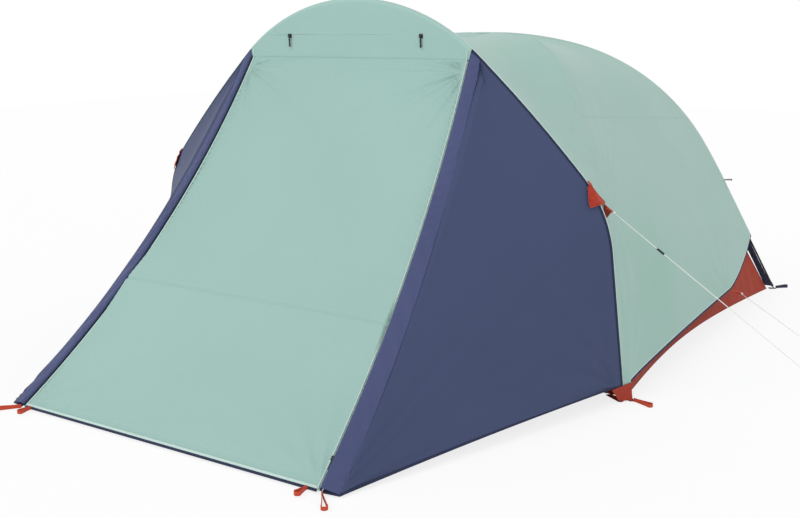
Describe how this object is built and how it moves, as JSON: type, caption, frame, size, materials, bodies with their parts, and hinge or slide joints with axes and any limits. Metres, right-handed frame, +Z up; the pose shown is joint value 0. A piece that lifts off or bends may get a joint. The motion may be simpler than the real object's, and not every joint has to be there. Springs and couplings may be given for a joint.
{
  "type": "dome tent with hooped porch",
  "caption": "Camping tent with crossed dome poles, a hooped front porch with a zipped swing-up door, a full fly, an inner tent with a tub floor, stake loops and guylines.",
  "frame": {"origin": "on the ground, in the middle of the plan without the guylines", "axes": "+Y from the porch door to the rear, +Z up, +X to the right seen from the porch"},
  "size_m": [3.2066, 3.6679, 1.5683],
  "materials": {
    "pole": "satin black tube",
    "ferrule": "satin",
    "hardware": "moulded",
    "fly": "coated woven",
    "binding": "woven tape",
    "porch": "coated woven",
    "flap": "coated woven",
    "zip": "woven tape and coil",
    "floor": "coated woven",
    "inner": "light breathable weave",
    "webbing": "woven webbing",
    "cord": "braided"
  },
  "bodies": {
    "tent": {"hoop_pole": "pole", "lower_dome_pole": "pole", "upper_dome_pole": "pole", "pole_ferrules": "ferrule", "pole_tips": "hardware", "crown_hub": "hardware", "front_fly_roof": "fly", "left_fly_panel": "fly", "right_fly_panel": "fly", "rear_fly_panel": "fly", "fly_crown_patch": "fly", "fly_brow": "fly", "fly_hems": "binding", "left_porch_panel": "porch", "right_porch_panel": "porch", "left_zip_flap": "flap", "right_zip_flap": "flap", "left_zip": "zip", "right_zip": "zip", "floor_tub": "floor", "front_inner_wall": "inner", "left_inner_wall": "inner", "right_inner_wall": "inner", "rear_inner_wall": "inner", "inner_roof": "inner", "inner_zip": "zip", "canopy_clips": "hardware", "corner_straps": "binding", "corner_grommets": "ferrule", "rear_corner_straps": "binding", "left_porch_loop": "webbing", "right_porch_loop": "webbing", "left_front_loop": "webbing", "right_front_loop": "webbing", "left_rear_loop": "binding", "right_rear_loop": "binding", "guy_patches": "webbing", "guy_loops": "webbing", "rear_guy_loops": "binding", "hem_tabs": "webbing", "toggle_tabs": "fly", "guyline": "cord", "guyline_return": "cord", "hem_guyline": "cord"},
    "door": {"door_panel": "fly", "door_hem": "binding", "door_zip_tapes": "zip", "left_door_loop": "webbing", "right_door_loop": "webbing"},
    "inner_door": {"inner_door": "inner"},
    "left_slider": {"left_zip_slider": "hardware"},
    "right_slider": {"right_zip_slider": "hardware"},
    "inner_slider": {"inner_zip_slider": "hardware"},
    "left_toggle_body": {"left_toggle": "hardware"},
    "right_toggle_body": {"right_toggle": "hardware"},
    "tensioner": {"guyline_tensioner": "hardware"}
  },
  "joints": [
    {"name": "door_swing", "type": "hinge", "parent": "tent", "child": "door", "pos_m": [0, -0.49699, 1.32304], "axis": [-1, 0, 0], "range_deg": [0, 55]},
    {"name": "right_zip_run", "type": "hinge", "parent": "door", "child": "right_slider", "pos_m": [1.05978, -4.2207, 3.65243], "axis": [0.9912, 0.1327, 0], "range_deg": [0, 21]},
    {"name": "left_zip_run", "type": "hinge", "parent": "door", "child": "left_slider", "pos_m": [-1.05978, -4.2207, 3.65243], "axis": [0.9912, -0.1327, 0], "range_deg": [0, 21]},
    {"name": "inner_door_swing", "type": "hinge", "parent": "tent", "child": "inner_door", "pos_m": [0, -0.30781, 0.18189], "axis": [1, 0, 0], "range_deg": [0, 110]},
    {"name": "inner_zip_run", "type": "hinge", "parent": "tent", "child": "inner_slider", "pos_m": [0, -0.30781, 0.18189], "axis": [0, -0.9573, 0.2891], "range_deg": [0, 169]},
    {"name": "right_toggle_swing", "type": "hinge", "parent": "tent", "child": "right_toggle_body", "pos_m": [0.34, -0.50796, 1.41568], "axis": [-1, 0, 0], "range_deg": [0, 80]},
    {"name": "left_toggle_swing", "type": "hinge", "parent": "tent", "child": "left_toggle_body", "pos_m": [-0.34, -0.50796, 1.41568], "axis": [-1, 0, 0], "range_deg": [0, 80]},
    {"name": "tensioner_slide", "type": "slide", "parent": "tent", "child": "tensioner", "axis": [-0.6347, -0.4408, 0.6347], "range_m": [0, 0.2], "deforming": ["guyline_return"]}
  ]
}
